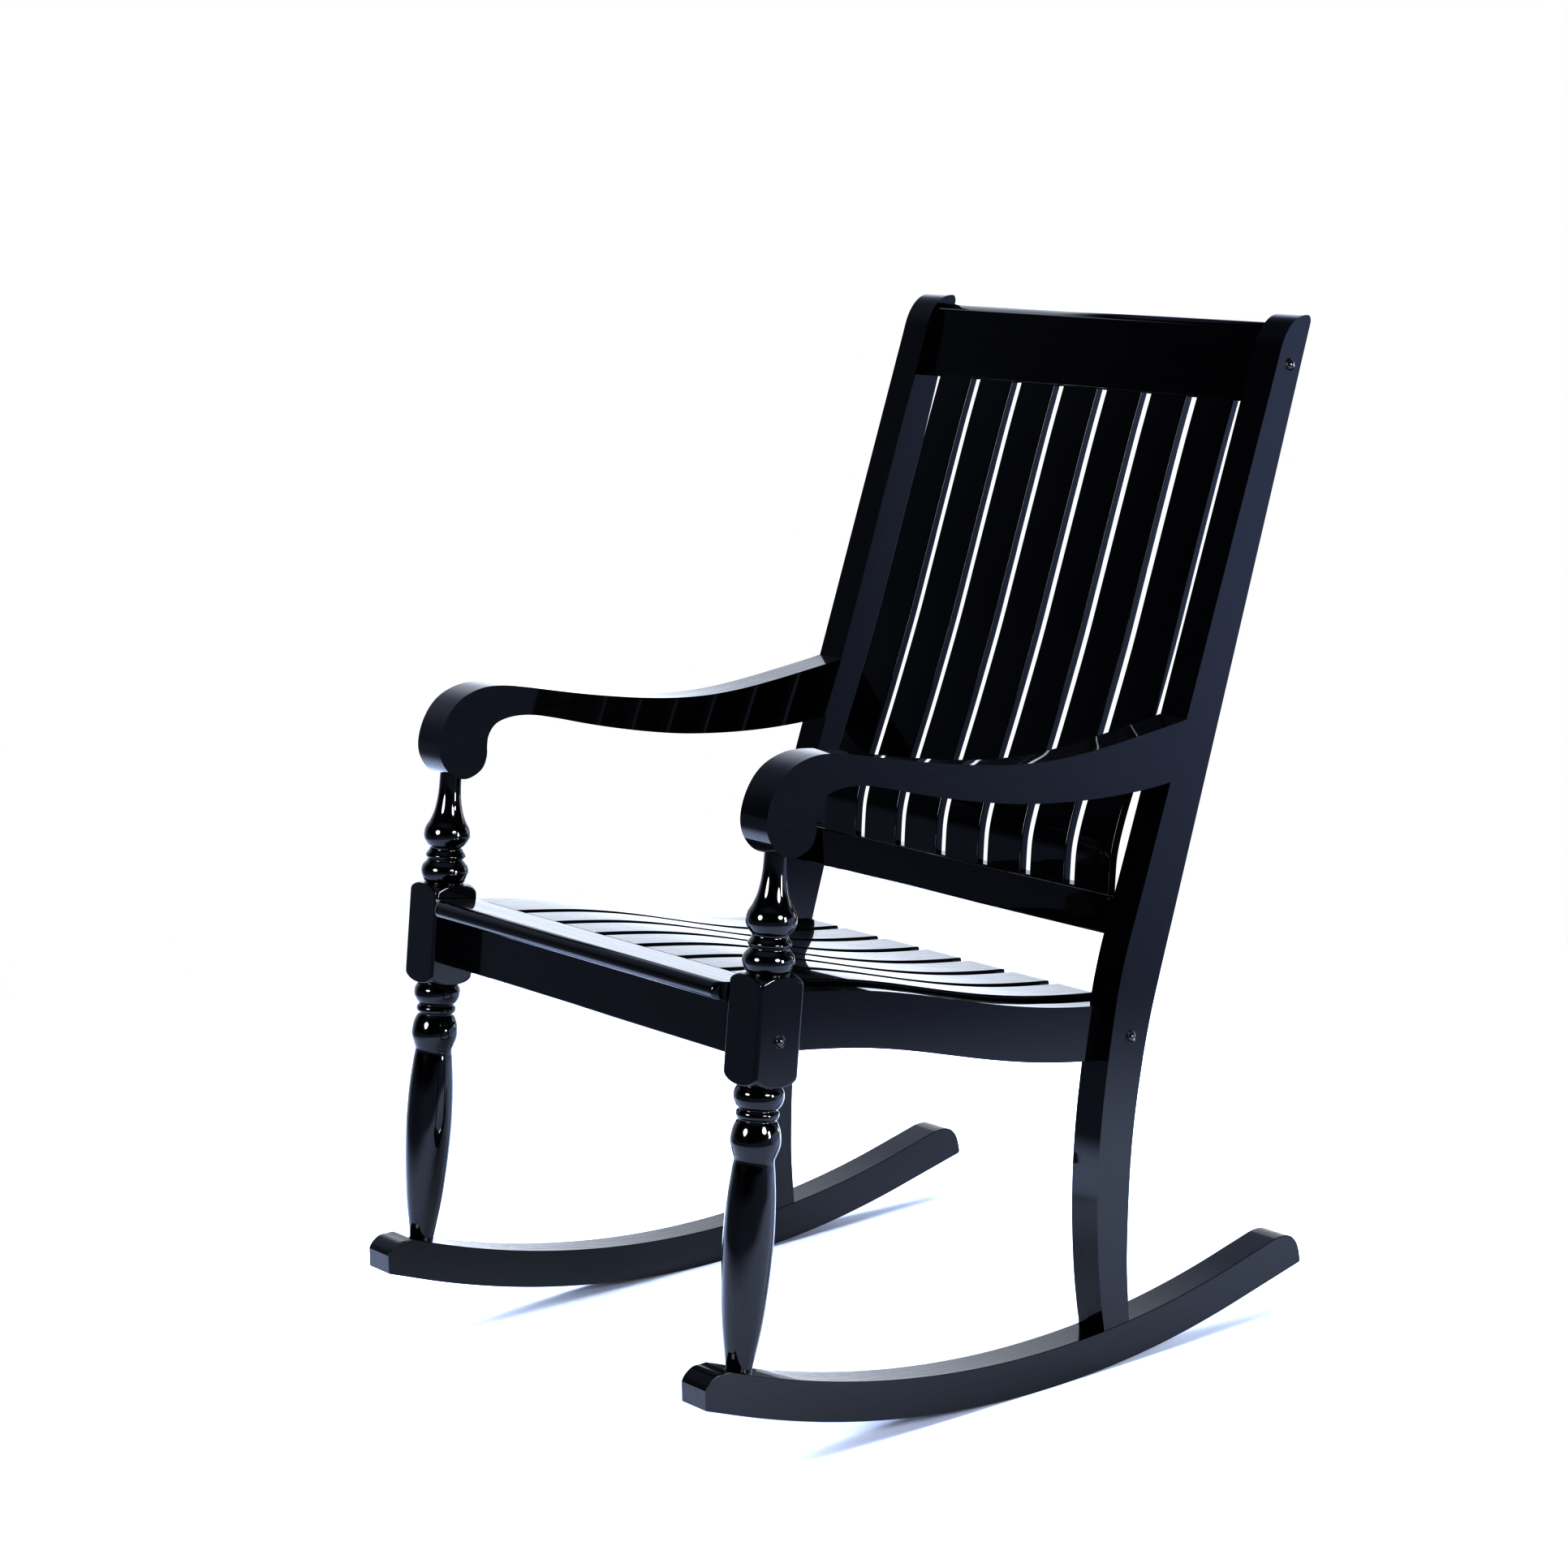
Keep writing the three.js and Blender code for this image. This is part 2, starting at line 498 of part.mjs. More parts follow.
function makeBolt(name, side, bolt) {
  const [, y, z, face, depth] = bolt;
  const r = HEAD_D / 2, n = 3;
  const sphere = (r * r + HEAD_H * HEAD_H) / (2 * HEAD_H);
  const points = [new THREE.Vector2(0, -depth), new THREE.Vector2(SHANK_D / 2, -depth),
    new THREE.Vector2(SHANK_D / 2, GAP), new THREE.Vector2(r, GAP)];
  for (let i = 1; i <= n; i++) {
    const a = Math.asin(r / sphere) * (1 - i / n);
    const rise = sphere * Math.cos(a) - sphere + HEAD_H;
    points.push(new THREE.Vector2(i === n ? 0 : sphere * Math.sin(a), GAP + rise));
  }
  const geometry = new THREE.LatheGeometry(points, 16);
  geometry.rotateZ(-Math.PI / 2);
  if (side < 0) geometry.rotateZ(Math.PI);
  geometry.translate(side * face, y, z);
  add(name, toSolid(geometry), blackMetal, [side * face, y, z]);
}

// ---------------------------------------------------------------- assembly
for (const [hand, side] of [['left', 1], ['right', -1]]) {
  makeRunner(`rocker_${hand}`, side);
  makeFrontLeg(`front_leg_${hand}`, side);
  makeRearPost(`rear_post_${hand}`, side);
  makeArm(`arm_${hand}`, side);
  makeSideRail(`side_rail_${hand}`, side);
  for (const bolt of BOLTS) makeBolt(`${bolt[0]}_${hand}`, side, bolt);
}
makeFrontApron();
makeFrontBoard();
makeRearSeatRail();
for (let k = 0; k < SLATS; k++) {
  makeSeatSlat(`seat_slat_${k + 1}`, (k - (SLATS - 1) / 2) * SLAT_PITCH);
  makeBackSlat(`back_slat_${k + 1}`, (k - (SLATS - 1) / 2) * BACK_SLAT_PITCH);
}
makeBackRail('crest_rail', CREST,
  (side) => board(crestTenon(0), ...mirrored(side, CREST_TENON[0], CREST_TENON[1])), 'high');
makeBackRail('lower_back_rail', LOWER, (side) => sideBox(side, LOWER_TENON), 'low');

// The origin goes to the middle of the footprint, on the floor.
chair.updateMatrixWorld(true);
const size = new THREE.Box3().setFromObject(chair, true);
rolled.position.y -= (size.min.y + size.max.y) / 2;
rolled.position.z -= size.min.z;
chair.updateMatrixWorld(true);

export default chair;
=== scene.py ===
"""Black lacquered rocking chair: fine geometry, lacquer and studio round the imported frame."""

import math

import bmesh
import bpy
import numpy as np
from mathutils import Matrix, Vector

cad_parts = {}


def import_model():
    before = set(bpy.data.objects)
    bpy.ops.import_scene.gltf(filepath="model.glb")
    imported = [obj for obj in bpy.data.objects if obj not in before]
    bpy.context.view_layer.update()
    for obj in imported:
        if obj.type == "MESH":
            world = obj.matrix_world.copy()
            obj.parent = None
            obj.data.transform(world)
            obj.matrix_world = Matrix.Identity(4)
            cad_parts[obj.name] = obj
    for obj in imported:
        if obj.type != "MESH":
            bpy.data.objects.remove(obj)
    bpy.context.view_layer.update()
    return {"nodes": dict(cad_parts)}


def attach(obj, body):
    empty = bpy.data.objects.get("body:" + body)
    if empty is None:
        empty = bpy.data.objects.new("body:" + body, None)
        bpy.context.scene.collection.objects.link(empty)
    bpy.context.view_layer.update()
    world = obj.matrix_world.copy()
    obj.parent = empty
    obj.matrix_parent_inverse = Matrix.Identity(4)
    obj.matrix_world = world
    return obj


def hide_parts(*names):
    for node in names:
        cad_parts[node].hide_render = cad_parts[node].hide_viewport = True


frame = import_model()

# ------------------------------------------------------------------ the drawn frame
# Outlines are in millimetres with the runners' tips level. The chair stands rolled back on its
# runners by ROLL, and SHIFT brings the middle of its footprint to the origin.
ROLL = math.radians(2.54)
SHIFT = (-17.05935, 0.77024)
C, S = math.cos(ROLL), math.sin(ROLL)
STAND = Matrix(((1, 0, 0, 0), (0, C, S, SHIFT[0]), (0, -S, C, SHIFT[1]), (0, 0, 0, 1)))
MM_PER_M = 1000


def stand(points):
    """Drawn points in millimetres, as metres in the frame of the standing chair."""
    p = np.asarray(points, float).reshape(-1, 3)
    y = SHIFT[0] + C * p[:, 1] + S * p[:, 2]
    z = SHIFT[1] - S * p[:, 1] + C * p[:, 2]
    return np.stack([p[:, 0], y, z], 1) / MM_PER_M


# ------------------------------------------------------------------ dimensions, as in the CAD part
SIDE_X, STOCK, BLOCK, ARM_W = 276, 38.1, 50.8, 40.4
RUN_R, RUN_Y, RUN_DEPTH = 1120, -6.5, 39.6
ARC_FRONT, ARC_REAR = 345, 305  # reach of the runner's arc from RUN_Y; it goes on straight
TIP_FRONT, TIP_REAR = -389.2, 389.2
LEG_SLOPE, LEG_Y0 = 0.0914, -344.41
SLATS, SLAT_PITCH, SEAT_SLAT_W, SEAT_SLAT_T = 7, 69.4, 55.4, 16
BACK_SLAT_PITCH, BACK_SLAT_W, BACK_SLAT_T = 68.1, 53, 9.5
RAIL_X, RAIL_T, RAIL_DROP, RAIL_DEPTH = 267, 22, 4, 56
BOARD_SLOPE, BOARD_T, BOARD_FRONT, NOSE_SETBACK = 0.14, 18.2, -338.6, 8.5
APRON_T, APRON_LOW = 22, 381
POST_IN, BLOCK_IN = SIDE_X - STOCK / 2, SIDE_X - BLOCK / 2
GAP = 0.3  # clearance in the CAD part's joints
NEAR, END_NEAR = 0.15, 0.1  # what is left of it between visible shoulders, and at rail ends

# Side outlines as (Y, Z), and leg radii against height along the leg.
SEAT_TOP = [(-275, 450.9), (-240, 447.4), (-200, 442.5), (-160, 435.7), (-120, 427.1), (-80, 417.4),
    (-40, 407.7), (0, 399.0), (40, 391.8), (80, 386.4), (120, 382.6), (148, 380.6)]
SEAT_FRONT_Y, SEAT_FRONT_Z = SEAT_TOP[0]
SEAT_REAR_Y = SEAT_TOP[-1][0]
HEEL = [(TIP_REAR, 70.2), (386.8, 81.4), (383, 90.4), (377, 96.8), (370, 99.9), (361.5, 100.4)]
TOE = [(-367, 98.6), (-375.4, 98.2), (-381.4, 95.4), (-386.2, 91.2), (TIP_FRONT, 86.4)]
POST_FRONT = [(113.4, 40), (108.6, 66), (104.2, 100), (101.2, 140), (100.1, 180), (101.0, 220),
    (103.9, 260), (108.6, 300), (114.6, 340), (123.4, 390), (133.6, 430), (146.4, 468), (163.5, 518),
    (190.9, 600), (257.7, 800), (324.4, 1000), (331.6, 1022)]
POST_BACK = [(373.4, 1050.5), (358.2, 1000), (298.3, 800), (238.3, 600), (208.4, 500), (189.5, 437),
    (179.2, 402), (170.9, 373), (163.2, 341), (156.7, 308), (151.2, 275.5), (147.0, 242.5),
    (144.2, 209.5), (142.6, 176), (141.7, 140), (141.8, 108), (143.8, 74), (146.6, 40)]
POST_TOP = [(334.6, 1030.4), (338.6, 1038.4), (343.4, 1045.2), (349, 1050.8), (355.6, 1055),
    (363, 1057.1), (369.6, 1057.2), (372.6, 1055.2)]
ARM_TOP = [(196.1, 658.9), (156.1, 652.4), (113.3, 645.8), (71, 640.6), (29.3, 638), (-12.1, 638.6),
    (-52.8, 642), (-93.2, 647.2), (-132.9, 653.4), (-172.3, 660.6), (-210.8, 668), (-238, 672),
    (-262, 672), (-284, 665.6), (-300, 654.4), (-311.5, 637.6), (-317.4, 619), (-316.6, 603.6),
    (-309.6, 590.6), (-299.4, 582.2), (-287, 578.6), (-274.5, 581.6), (-264.6, 588.8),
    (-259.8, 600.2), (-259.2, 611.6), (-257.2, 621.6), (-250.2, 631.2), (-239.4, 636.4),
    (-222, 638.9), (-200, 637.6)]
ARM_UNDER = [(-172.1, 631.8), (-132.6, 622), (-92.8, 613.3), (-52.4, 605.8), (-11.6, 599.8),
    (29.9, 596.1), (71.8, 594.2), (114.3, 594.2), (157.4, 596.4)]
ARM_JOINT = [661.9, 600.2, 620, 641]  # heights where the arm's outline meets the post
SLAT_FRONT = [(168.4, 479), (169.1, 495), (170.8, 515), (175.3, 535), (184.3, 562), (197.8, 596),
    (215.2, 640), (243.5, 716), (266.2, 784), (288.8, 852.5), (311.7, 921), (329.2, 970)]
SLAT_FOOT, SLAT_HEAD = (168.1, 470), (333.1, 981)  # its ends, inside the two back rails
LEG_PROFILE = [(12.4, 86), (12.4, 93), (15.3, 110.5), (19.0, 135), (22.3, 171), (24.1, 205),
    (24.3, 228), (23.3, 256), (20.9, 282), (19.5, 293.5), (21.2, 299.5), (23.6, 307), (24.2, 313),
    (22.8, 322.5), (20.2, 329.5), (18.4, 332.4), (20.5, 336), (20.4, 339.6), (18.6, 342.8),
    (21.6, 346), (24.0, 352), (23.8, 359), (21.4, 363.8), (20.6, 365), (26.4, 366.8), (31.4, 369.8),
    (34.6, 374.2), (36.2, 380.4), (36.2, 388), (36.2, 408), (36.2, 430), (36.2, 450), (36.2, 457.6),
    (34.6, 463.2), (31.2, 467.2), (26.6, 469.8), (20.2, 471), (22.6, 475), (24.8, 482.4),
    (23.4, 489), (19.0, 494.6), (20.9, 499.4), (17.2, 506.4), (20.5, 511), (23.6, 516.6),
    (24.2, 521.8), (22.8, 528.6), (18.6, 536), (15.2, 545), (12.9, 556), (11.7, 568), (11.4, 582),
    (11.4, 596)]
LEG_STEPS = 9  # rings from one point of the profile to the next
CREST = dict(slope=0.29, y=330, z=973.6, t=20, z0=969.6, z1=1048)
LOWER = dict(slope=0.14, y=168, z=479.4, t=20, z0=438.4, z1=479.4)
BOLTS = [("bolt_seat_front", LEG_Y0 + LEG_SLOPE * 409, 409, SIDE_X + BLOCK / 2),
    ("bolt_seat_rear", 142.4, 346.8, SIDE_X + STOCK / 2),
    ("bolt_crest", 345.2, 1008.7, SIDE_X + STOCK / 2)]
# A bolt head as (radius, height above the wood): shank, dished collar, then a dome.
COLLAR = [(3, -6), (3, -0.4), (6.4, -0.4), (6.5, 0.0), (6.5, 0.6), (6.4, 0.84), (6.15, 0.92),
    (5.9, 0.84), (5.2, 0.22), (4.9, 0.2)]
DOME_R, DOME_RISE, DOME_FOOT, DOME_STEPS, BOLT_SIDES = 4.9, 3.9, 0.2, 10, 40

# Arris width in mm, and segments. Blender's overlap clamp cuts the width down to fit the shortest
# edge of an outline: the slats get all of theirs, the runners 0.6 mm, and the others next to none.
ARRIS = {"rocker": (3.0, 4), "rear_post": (4.0, 5), "arm": (3.0, 4), "side_rail": (2.0, 3),
    "seat_slat": (2.2, 3), "back_slat": (1.5, 3)}
SHARP_CORNER, NO_CORNERS = 30, 181  # degrees of turn from which a corner is eased too


# ------------------------------------------------------------------ lines
def smooth(points, steps):
    """The same spline as the part's: uniform Catmull-Rom, with equal steps from point to point."""
    p = np.asarray(points, float)
    out = []
    for k in range(steps + 1):
        t = (len(p) - 1) * k / steps
        i = min(int(t), len(p) - 1)
        w = t - i
        p0, p1 = p[i if i == 0 else i - 1], p[i]
        p2, p3 = p[min(i + 1, len(p) - 1)], p[min(i + 2, len(p) - 1)]
        v0, v1 = (p2 - p0) / 2, (p3 - p1) / 2
        out.append((2 * p1 - 2 * p2 + v0 + v1) * w ** 3
            + (-3 * p1 + 3 * p2 - 2 * v0 - v1) * w ** 2 + v0 * w + p1)
    return [tuple(q) for q in out]


def runner_z(y, radius):
    """Height of an arc of this radius about the runner's centre, straight beyond its two ends."""
    d = abs(y - RUN_Y)
    at = min(d, ARC_FRONT if y < RUN_Y else ARC_REAR)
    root = math.sqrt(radius * radius - at * at)
    return RUN_R - root + (d - at) * at / root


def on_line(line, value, a, b):
    """Coordinate b of a line where its coordinate a is value, or at the nearest point."""
    for p, q in zip(line, line[1:]):
        if (p[a] - value) * (q[a] - value) <= 0 and p[a] != q[a]:
            return p[b] + (q[b] - p[b]) * (value - p[a]) / (q[a] - p[a])
    near = min(line, key=lambda r: abs(r[a] - value))
    return near[b]


SEAT_LINE = smooth(SEAT_TOP, 88)
POST_FRONT_LINE = smooth(POST_FRONT, 96)
POST_BACK_LINE = smooth(POST_BACK, 102)
seat_z = lambda y: on_line(SEAT_LINE, y, 0, 1)
post_front_y = lambda z: on_line(POST_FRONT_LINE, z, 1, 0)
leg_y = lambda z: LEG_Y0 + LEG_SLOPE * z
runner_top = lambda y: runner_z(y, RUN_R - RUN_DEPTH)
board_top = lambda y: SEAT_FRONT_Z + BOARD_SLOPE * (SEAT_FRONT_Y - y)


def rounded(points, radii, steps):
    """A polygon with arcs of these radii in place of its corners."""
    out = []
    n = len(points)
    for i, (p, r) in enumerate(zip(points, radii)):
        p = np.asarray(p, float)
        if not r:
            out.append(tuple(p))
            continue
        a = np.asarray(points[i - 1], float) - p
        b = np.asarray(points[(i + 1) % n], float) - p
        a, b = a / np.linalg.norm(a), b / np.linalg.norm(b)
        half = math.acos(max(-1, min(1, a @ b))) / 2
        cut = r / math.tan(half)
        centre = p + (a + b) / np.linalg.norm(a + b) * r / math.sin(half)
        s, e = p + a * cut - centre, p + b * cut - centre
        sweep = math.atan2(s[0] * e[1] - s[1] * e[0], s @ e)
        for k in range(steps + 1):
            t = sweep * k / steps
            out.append((centre[0] + s[0] * math.cos(t) - s[1] * math.sin(t),
                centre[1] + s[0] * math.sin(t) + s[1] * math.cos(t)))
    return out


# ------------------------------------------------------------------ meshes
def ease_arrises(obj, width, segments, weights):
    """Round the edges in weights, {(a, b): share of the width}, where a < b are vertex numbers."""
    layer = obj.data.attributes.new("bevel_weight_edge", "FLOAT", "EDGE")
    for e in obj.data.edges:
        layer.data[e.index].value = weights.get(tuple(sorted(e.vertices)), 0.0)
    mod = obj.modifiers.new("arris", "BEVEL")
    mod.limit_method = "WEIGHT"
    mod.width = width / MM_PER_M
    mod.segments = segments
    mod.miter_outer = "MITER_ARC"
    mod.use_clamp_overlap = True


def make(name, verts, faces, material, arrises=None, flat=True):
    """A piece from drawn-frame vertices, in place of the CAD node of the same name.

    arrises is what ease_arrises takes after the object. flat keeps the large faces' normals level.
    """
    mesh = bpy.data.meshes.new(name)
    mesh.from_pydata([tuple(v) for v in stand(verts)], [], faces)
    mesh.validate()
    bm = bmesh.new()
    bm.from_mesh(mesh)
    bmesh.ops.recalc_face_normals(bm, faces=bm.faces)
    bm.to_mesh(mesh)
    bm.free()
    for p in mesh.polygons:
        p.use_smooth = True
    mesh.materials.append(material)
    obj = bpy.data.objects.new(name, mesh)
    bpy.context.scene.collection.objects.link(obj)
    if arrises:
        ease_arrises(obj, *arrises)
    if flat:
        mod = obj.modifiers.new("flat", "WEIGHTED_NORMAL")
        mod.mode = "FACE_AREA"
        mod.weight = 80
    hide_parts(name)
    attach(obj, "root")
    return obj


def tube(rings, n):
    """Faces that join rings of n vertices each, numbered one ring after another."""
    return [[i * n + j, i * n + (j + 1) % n, (i + 1) * n + (j + 1) % n, (i + 1) * n + j]
        for i in range(rings - 1) for j in range(n)]


def plank(name, outline, x0, x1, material, arris, rim=None, corner=SHARP_CORNER):
    """A side outline (Y, Z) sawn through from x0 to x1, with its arrises eased.

    rim(y, z) scales the easing of the edges near that point, and corners that turn by more than
    corner degrees are eased too.
    """
    n = len(outline)
    verts = [(x0, y, z) for y, z in outline] + [(x1, y, z) for y, z in outline]
    faces = [[i, (i + 1) % n, n + (i + 1) % n, n + i] for i in range(n)]
    faces += [list(range(n))[::-1], list(range(n, 2 * n))]
    weights = {}
    for i in range(n):
        j = (i + 1) % n
        (ya, za), (yb, zb) = outline[i], outline[j]
        w = rim((ya + yb) / 2, (za + zb) / 2) if rim else 1.0
        weights[(min(i, j), max(i, j))] = weights[(min(n + i, n + j), max(n + i, n + j))] = w
        yc, zc = outline[i - 1]
        turn = math.degrees(math.atan2((ya - yc) * (zb - za) - (za - zc) * (yb - ya),
            (ya - yc) * (yb - ya) + (za - zc) * (zb - za)))
        if abs(turn) > corner:
            weights[(i, n + i)] = rim(ya, za) if rim else 1.0
    make(name, verts, faces, material, arrises=(*arris, weights))


def sweep_x(name, sections, material):
    """Sections [(x, [(y, z), ...]), ...] of equal length joined along X, and closed at both ends."""
    n, last = len(sections[0][1]), (len(sections) - 1) * len(sections[0][1])
    verts = [(x, y, z) for x, s in sections for y, z in s]
    faces = tube(len(sections), n) + [list(range(n))[::-1], list(range(last, last + n))]
    make(name, verts, faces, material)


def turned_leg(name, side, material):
    """The turned leg: a round profile limited by a square with eased corners."""
    r, z = np.array(smooth(LEG_PROFILE, (len(LEG_PROFILE) - 1) * LEG_STEPS)).T
    ease = 3.0
    # degrees round one quarter, closer together at the corner of the square
    quarter = np.concatenate([np.linspace(-45, -7, 12), np.linspace(-5, 5, 13),
        np.linspace(7, 45, 12)[:-1]])
    turn = np.radians(np.concatenate([45 + 90 * k + quarter for k in range(4)]))
    c, s = np.abs(np.cos(turn)), np.abs(np.sin(turn))
    c, s = np.maximum(c, s), np.minimum(c, s)
    half = BLOCK / 2
    inner = half - ease
    mid = inner * (c + s)
    arc = mid + np.sqrt(np.maximum(0, mid ** 2 - (2 * inner ** 2 - ease ** 2)))
    square = np.where(half * s / c <= inner, half / c, arc)
    # the smaller of the two radii, blended where they cross; base keeps the exponents small
    sharpness, base = 2.2, 20
    rows = -np.log(np.exp(-sharpness * (r[:, None] - base))
        + np.exp(-sharpness * (square[None, :] - base))) / sharpness + base
    tilt = math.atan(LEG_SLOPE)
    n = len(turn)
    verts = []
    for zi, row in zip(z, rows):
        x, y = row * np.cos(turn), row * np.sin(turn)
        verts += [(side * SIDE_X + a, LEG_Y0 + b * math.cos(tilt) + zi * math.sin(tilt),
            -b * math.sin(tilt) + zi * math.cos(tilt)) for a, b in zip(x, y)]
    faces = tube(len(z), n)
    faces += [list(range(n))[::-1], list(range((len(z) - 1) * n, len(z) * n))]
    make(name, verts, faces, material, flat=False)


def bolt(name, side, y, z, face, material):
    """A domed bolt head in a shallow dished collar, with a stub of its shank behind it."""
    ball = (DOME_R * DOME_R + DOME_RISE * DOME_RISE) / (2 * DOME_RISE)
    profile = list(COLLAR)
    for k in range(DOME_STEPS):
        a = math.asin(DOME_R / ball) * (1 - k / DOME_STEPS)
        profile.append((ball * math.sin(a), DOME_FOOT + ball * math.cos(a) - ball + DOME_RISE))
    n, rows = BOLT_SIDES, len(profile)
    verts = [(side * (face + d), y + rad * math.cos(2 * math.pi * j / n),
        z + rad * math.sin(2 * math.pi * j / n)) for rad, d in profile for j in range(n)]
    tip = len(verts)
    verts.append((side * (face + DOME_FOOT + DOME_RISE), y, z))
    faces = tube(rows, n) + [list(range(n))[::-1]]
    faces += [[(rows - 1) * n + j, (rows - 1) * n + (j + 1) % n, tip] for j in range(n)]
    make(name, verts, faces, material)


# ------------------------------------------------------------------ materials
def node(tree, kind, **values):
    """A new node. A value goes to the input socket of that name, or else to the property."""
    n = tree.nodes.new(kind)
    for key, value in values.items():
        if key in n.inputs:
            n.inputs[key].default_value = value
        else:
            setattr(n, key, value)
    return n


def fade(tree, value, start, end, low=0.0, high=1.0):
    """A smooth step from low to high as value goes from start to end."""
    n = node(tree, "ShaderNodeMapRange", interpolation_type="SMOOTHSTEP",
        **{"From Min": start, "From Max": end, "To Min": low, "To Max": high})
    tree.links.new(value, n.inputs["Value"])
    return n.outputs[0]


def noise(tree, vector, **values):
    n = node(tree, "ShaderNodeTexNoise", **values)
    tree.links.new(vector, n.inputs["Vector"])
    return n.outputs["Fac"]


def bump(tree, height, strength, distance, normal):
    n = node(tree, "ShaderNodeBump", Strength=strength, Distance=distance)
    tree.links.new(height, n.inputs["Height"])
    tree.links.new(n.outputs[0], normal)


def tone(tree, value, dark, light, target):
    """A ramp between two colours on the base colour. Returns it, to move its stops."""
    n = tree.nodes.new("ShaderNodeValToRGB")
    n.color_ramp.elements[0].color, n.color_ramp.elements[1].color = (*dark, 1), (*light, 1)
    tree.links.new(value, n.inputs[0])
    tree.links.new(n.outputs[0], target)
    return n.color_ramp


def along(grain, lengthwise, across):
    """Texture scales per axis, for fibres that run along the axis numbered grain."""
    return [lengthwise if k == grain else across for k in range(3)]


def lacquer(name, grain):
    """Black gloss lacquer over wood: a clear coat with a slight ripple, over fine grain."""
    mat = bpy.data.materials.new(name)
    mat.use_nodes = True
    t = mat.node_tree
    t.nodes.clear()
    out = t.nodes.new("ShaderNodeOutputMaterial")
    bsdf = node(t, "ShaderNodeBsdfPrincipled", **{"Metallic": 0.0, "IOR": 1.48,
        "Specular IOR Level": 0.04, "Coat Weight": 1.0, "Coat Roughness": 0.03, "Coat IOR": 1.5})
    t.links.new(bsdf.outputs[0], out.inputs[0])
    where = t.nodes.new("ShaderNodeTexCoord").outputs["Object"]
    stretched = []
    for scale in (along(grain, 9.0, 170.0), along(grain, 2.2, 16.0)):
        mapping = node(t, "ShaderNodeMapping", Scale=scale)
        t.links.new(where, mapping.inputs["Vector"])
        stretched.append(mapping.outputs[0])
    fibres = noise(t, stretched[0], Scale=1.0, Detail=5.0, Roughness=0.62, Distortion=0.35)
    bands = noise(t, stretched[1], Scale=1.0, Detail=3.0, Roughness=0.5)
    mixed = node(t, "ShaderNodeMath", operation="MULTIPLY_ADD")
    t.links.new(fibres, mixed.inputs[0])
    mixed.inputs[1].default_value = 0.55
    t.links.new(bands, mixed.inputs[2])
    stops = tone(t, mixed.outputs[0], (0.0004, 0.0004, 0.0007), (0.0014, 0.0014, 0.0021),
        bsdf.inputs["Base Color"])
    stops.elements[0].position = 0.45
    rough = node(t, "ShaderNodeMapRange",
        **{"From Min": 0.3, "From Max": 0.7, "To Min": 0.20, "To Max": 0.34})
    t.links.new(fibres, rough.inputs["Value"])
    t.links.new(rough.outputs[0], bsdf.inputs["Roughness"])
    bump(t, fibres, 0.04, 0.00002, bsdf.inputs["Normal"])
    ripple = noise(t, where, Scale=45.0, Detail=1.5, Roughness=0.4)
    bump(t, ripple, 0.04, 0.00003, bsdf.inputs["Coat Normal"])
    return mat


def black_metal():
    """Black gloss paint on the bolt heads."""
    mat = bpy.data.materials.new("black_metal")
    mat.use_nodes = True
    t = mat.node_tree
    bsdf = t.nodes["Principled BSDF"]
    for key, value in (("Metallic", 0.2), ("Specular IOR Level", 0.3), ("Coat Weight", 1.0),
            ("Coat Roughness", 0.03)):
        bsdf.inputs[key].default_value = value
    where = t.nodes.new("ShaderNodeTexCoord").outputs["Object"]
    grit = noise(t, where, Scale=900.0, Detail=3.0)
    tone(t, grit, (0.0020, 0.0020, 0.0026), (0.0060, 0.0060, 0.0075), bsdf.inputs["Base Color"])
    rough = node(t, "ShaderNodeMapRange", **{"To Min": 0.16, "To Max": 0.32})
    t.links.new(grit, rough.inputs["Value"])
    t.links.new(rough.outputs[0], bsdf.inputs["Roughness"])
    bump(t, grit, 0.2, 0.00005, bsdf.inputs["Normal"])
    return mat


LACQUER_X = lacquer("lacquer_across", 0)
LACQUER_Y = lacquer("lacquer_along", 1)
LACQUER_Z = lacquer("lacquer_up", 2)
METAL = black_metal()


# ------------------------------------------------------------------ side frames
def runner_outline():
    lift = 0.06  # keeps the smooth arc inside the box of the faceted CAD part
    ys = np.linspace(TIP_FRONT + 0.4, TIP_REAR - 1.2, 150)
    under = [(y, runner_z(y, RUN_R) + lift) for y in ys]
    top = [(y, runner_top(y)) for y in np.linspace(352, -360, 130)]
    heel = smooth([*HEEL, top[0]], 36)
    toe = smooth([top[-1], *TOE], 30)
    return under + heel[:-1] + top + toe[1:]


def post_outline():
    clear = 1  # the post's own curves stop this far above the runner
    front = [p for p in POST_FRONT_LINE if p[1] > runner_top(p[0]) + clear]
    back = [p for p in POST_BACK_LINE if p[1] > runner_top(p[0]) + clear]
    foot = [(y, runner_top(y) + NEAR) for y in np.linspace(back[-1][0] + 0.4, front[0][0] + 0.3, 14)]
    top = smooth([front[-1], *POST_TOP, back[0]], 48)[1:-1]
    return front + top + back + foot


def arm_outline():
    high, low, *inside = [(post_front_y(z) - GAP, z) for z in ARM_JOINT]
    return smooth([high, *ARM_TOP, *ARM_UNDER, low], 300) + inside


